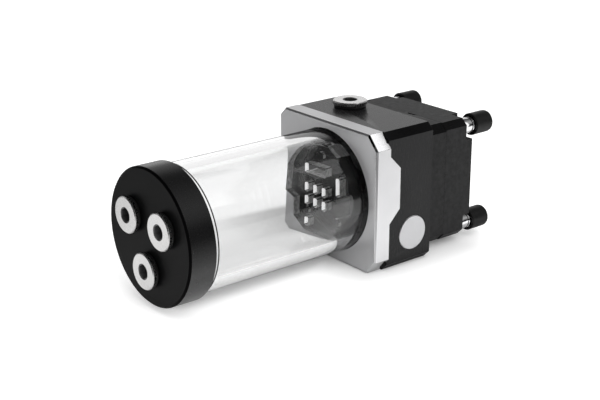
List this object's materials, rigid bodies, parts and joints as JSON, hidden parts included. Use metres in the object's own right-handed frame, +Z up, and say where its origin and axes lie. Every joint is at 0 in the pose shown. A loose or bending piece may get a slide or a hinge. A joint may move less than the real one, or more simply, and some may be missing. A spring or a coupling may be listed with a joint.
{
  "type": "coolant pump reservoir",
  "caption": "Clear tube reservoir with a screw cap and port plugs, on a square block with a coolant pump and rubber-tipped standoffs, lying on its side.",
  "frame": {"origin": "centre of the bounding box's underside, on the surface that the block lies on", "axes": "+X along the tube's axis from the cap to the pump's feet, +Z up through the plugged port, -Y towards the badge"},
  "size_m": [0.1868, 0.0712, 0.0717],
  "materials": {
    "black_acetal": "satin black acetal",
    "clear_acrylic": "polished clear acrylic",
    "satin_silver": "satin silver, fine brushed",
    "badge_silver": "satin silver disc",
    "plug_nickel": "satin nickel plate",
    "polished_steel": "polished",
    "screw_steel": "plain steel",
    "core_steel": "electrical steel laminations",
    "copper_wire": "enamelled copper winding",
    "seal_rubber": "black nitrile",
    "foot_rubber": "soft black rubber",
    "moulded_black": "moulded black plastic, fine mottled texture",
    "impeller_plastic": "filled engineering plastic",
    "can_plastic": "filled engineering plastic",
    "ferrite": "ferrite magnet",
    "bearing_ceramic": "ground ceramic",
    "bearing_carbon": "carbon graphite",
    "circuit_board": "glass-fibre board",
    "board_components": "moulded components"
  },
  "bodies": {
    "block": {"reservoir_tube": "clear_acrylic", "tube_seal": "seal_rubber", "front_shell": "satin_silver", "shell_screws": "screw_steel", "pump_base": "black_acetal", "side_badge": "badge_silver", "flow_baffle": "clear_acrylic", "baffle_posts": "clear_acrylic", "volute_seal": "seal_rubber", "bearing_ball": "bearing_ceramic", "separator_can": "can_plastic", "stator_core": "core_steel", "stator_coils": "copper_wire", "driver_board": "circuit_board", "board_parts": "board_components", "pump_flange": "moulded_black", "pump_housing": "moulded_black", "cable_gland": "foot_rubber", "pump_bolts": "screw_steel", "foot_columns": "polished_steel", "rubber_feet": "foot_rubber"},
    "rotor": {"impeller": "impeller_plastic", "rotor_magnet": "ferrite", "bearing_cup": "bearing_carbon"},
    "cap_seal_ring": {"cap_seal": "seal_rubber"},
    "cap": {"end_cap": "black_acetal"},
    "top_gasket": {"top_plug_gasket": "seal_rubber"},
    "top_screw": {"top_plug": "plug_nickel"},
    "gasket_1": {"cap_plug_gasket_1": "seal_rubber"},
    "screw_1": {"cap_plug_1": "plug_nickel"},
    "gasket_2": {"cap_plug_gasket_2": "seal_rubber"},
    "screw_2": {"cap_plug_2": "plug_nickel"},
    "gasket_3": {"cap_plug_gasket_3": "seal_rubber"},
    "screw_3": {"cap_plug_3": "plug_nickel"}
  },
  "joints": [
    {"name": "impeller_spin", "type": "hinge", "parent": "block", "child": "rotor", "pos_m": [0.04813, 0, 0.0341], "axis": [1, 0, 0], "continuous": true},
    {"name": "cap_lift", "type": "slide", "parent": "block", "child": "cap_seal_ring", "axis": [-1, 0, 0], "range_m": [0, 0.00901]},
    {"name": "cap_turn", "type": "hinge", "parent": "cap_seal_ring", "child": "cap", "pos_m": [-0.08993, 0, 0.0341], "axis": [-1, 0, 0], "range_deg": [0, 2160]},
    {"name": "top_plug_lift", "type": "slide", "parent": "block", "child": "top_gasket", "axis": [0, 0, 1], "range_m": [0, 0.0067]},
    {"name": "top_plug_turn", "type": "hinge", "parent": "top_gasket", "child": "top_screw", "pos_m": [0.03692, 0.0129, 0.0682], "axis": [0, 0, 1], "range_deg": [0, 1800]},
    {"name": "cap_plug_1_lift", "type": "slide", "parent": "cap", "child": "gasket_1", "axis": [-1, 0, 0], "range_m": [0, 0.0067]},
    {"name": "cap_plug_1_turn", "type": "hinge", "parent": "gasket_1", "child": "screw_1", "pos_m": [-0.08993, 0.01286, 0.04183], "axis": [-1, 0, 0], "range_deg": [0, 1800]},
    {"name": "cap_plug_2_lift", "type": "slide", "parent": "cap", "child": "gasket_2", "axis": [-1, 0, 0], "range_m": [0, 0.0067]},
    {"name": "cap_plug_2_turn", "type": "hinge", "parent": "gasket_2", "child": "screw_2", "pos_m": [-0.08993, -0.01312, 0.04137], "axis": [-1, 0, 0], "range_deg": [0, 1800]},
    {"name": "cap_plug_3_lift", "type": "slide", "parent": "cap", "child": "gasket_3", "axis": [-1, 0, 0], "range_m": [0, 0.0067]},
    {"name": "cap_plug_3_turn", "type": "hinge", "parent": "gasket_3", "child": "screw_3", "pos_m": [-0.08993, 0.00026, 0.0191], "axis": [-1, 0, 0], "range_deg": [0, 1800]}
  ],
  "couplings": [
    {"joint": "cap_lift", "follows": "cap_turn", "m_per_rad": 0.00023873},
    {"joint": "top_plug_lift", "follows": "top_plug_turn", "m_per_rad": 0.00021279},
    {"joint": "cap_plug_1_lift", "follows": "cap_plug_1_turn", "m_per_rad": 0.00021279},
    {"joint": "cap_plug_2_lift", "follows": "cap_plug_2_turn", "m_per_rad": 0.00021279},
    {"joint": "cap_plug_3_lift", "follows": "cap_plug_3_turn", "m_per_rad": 0.00021279}
  ]
}
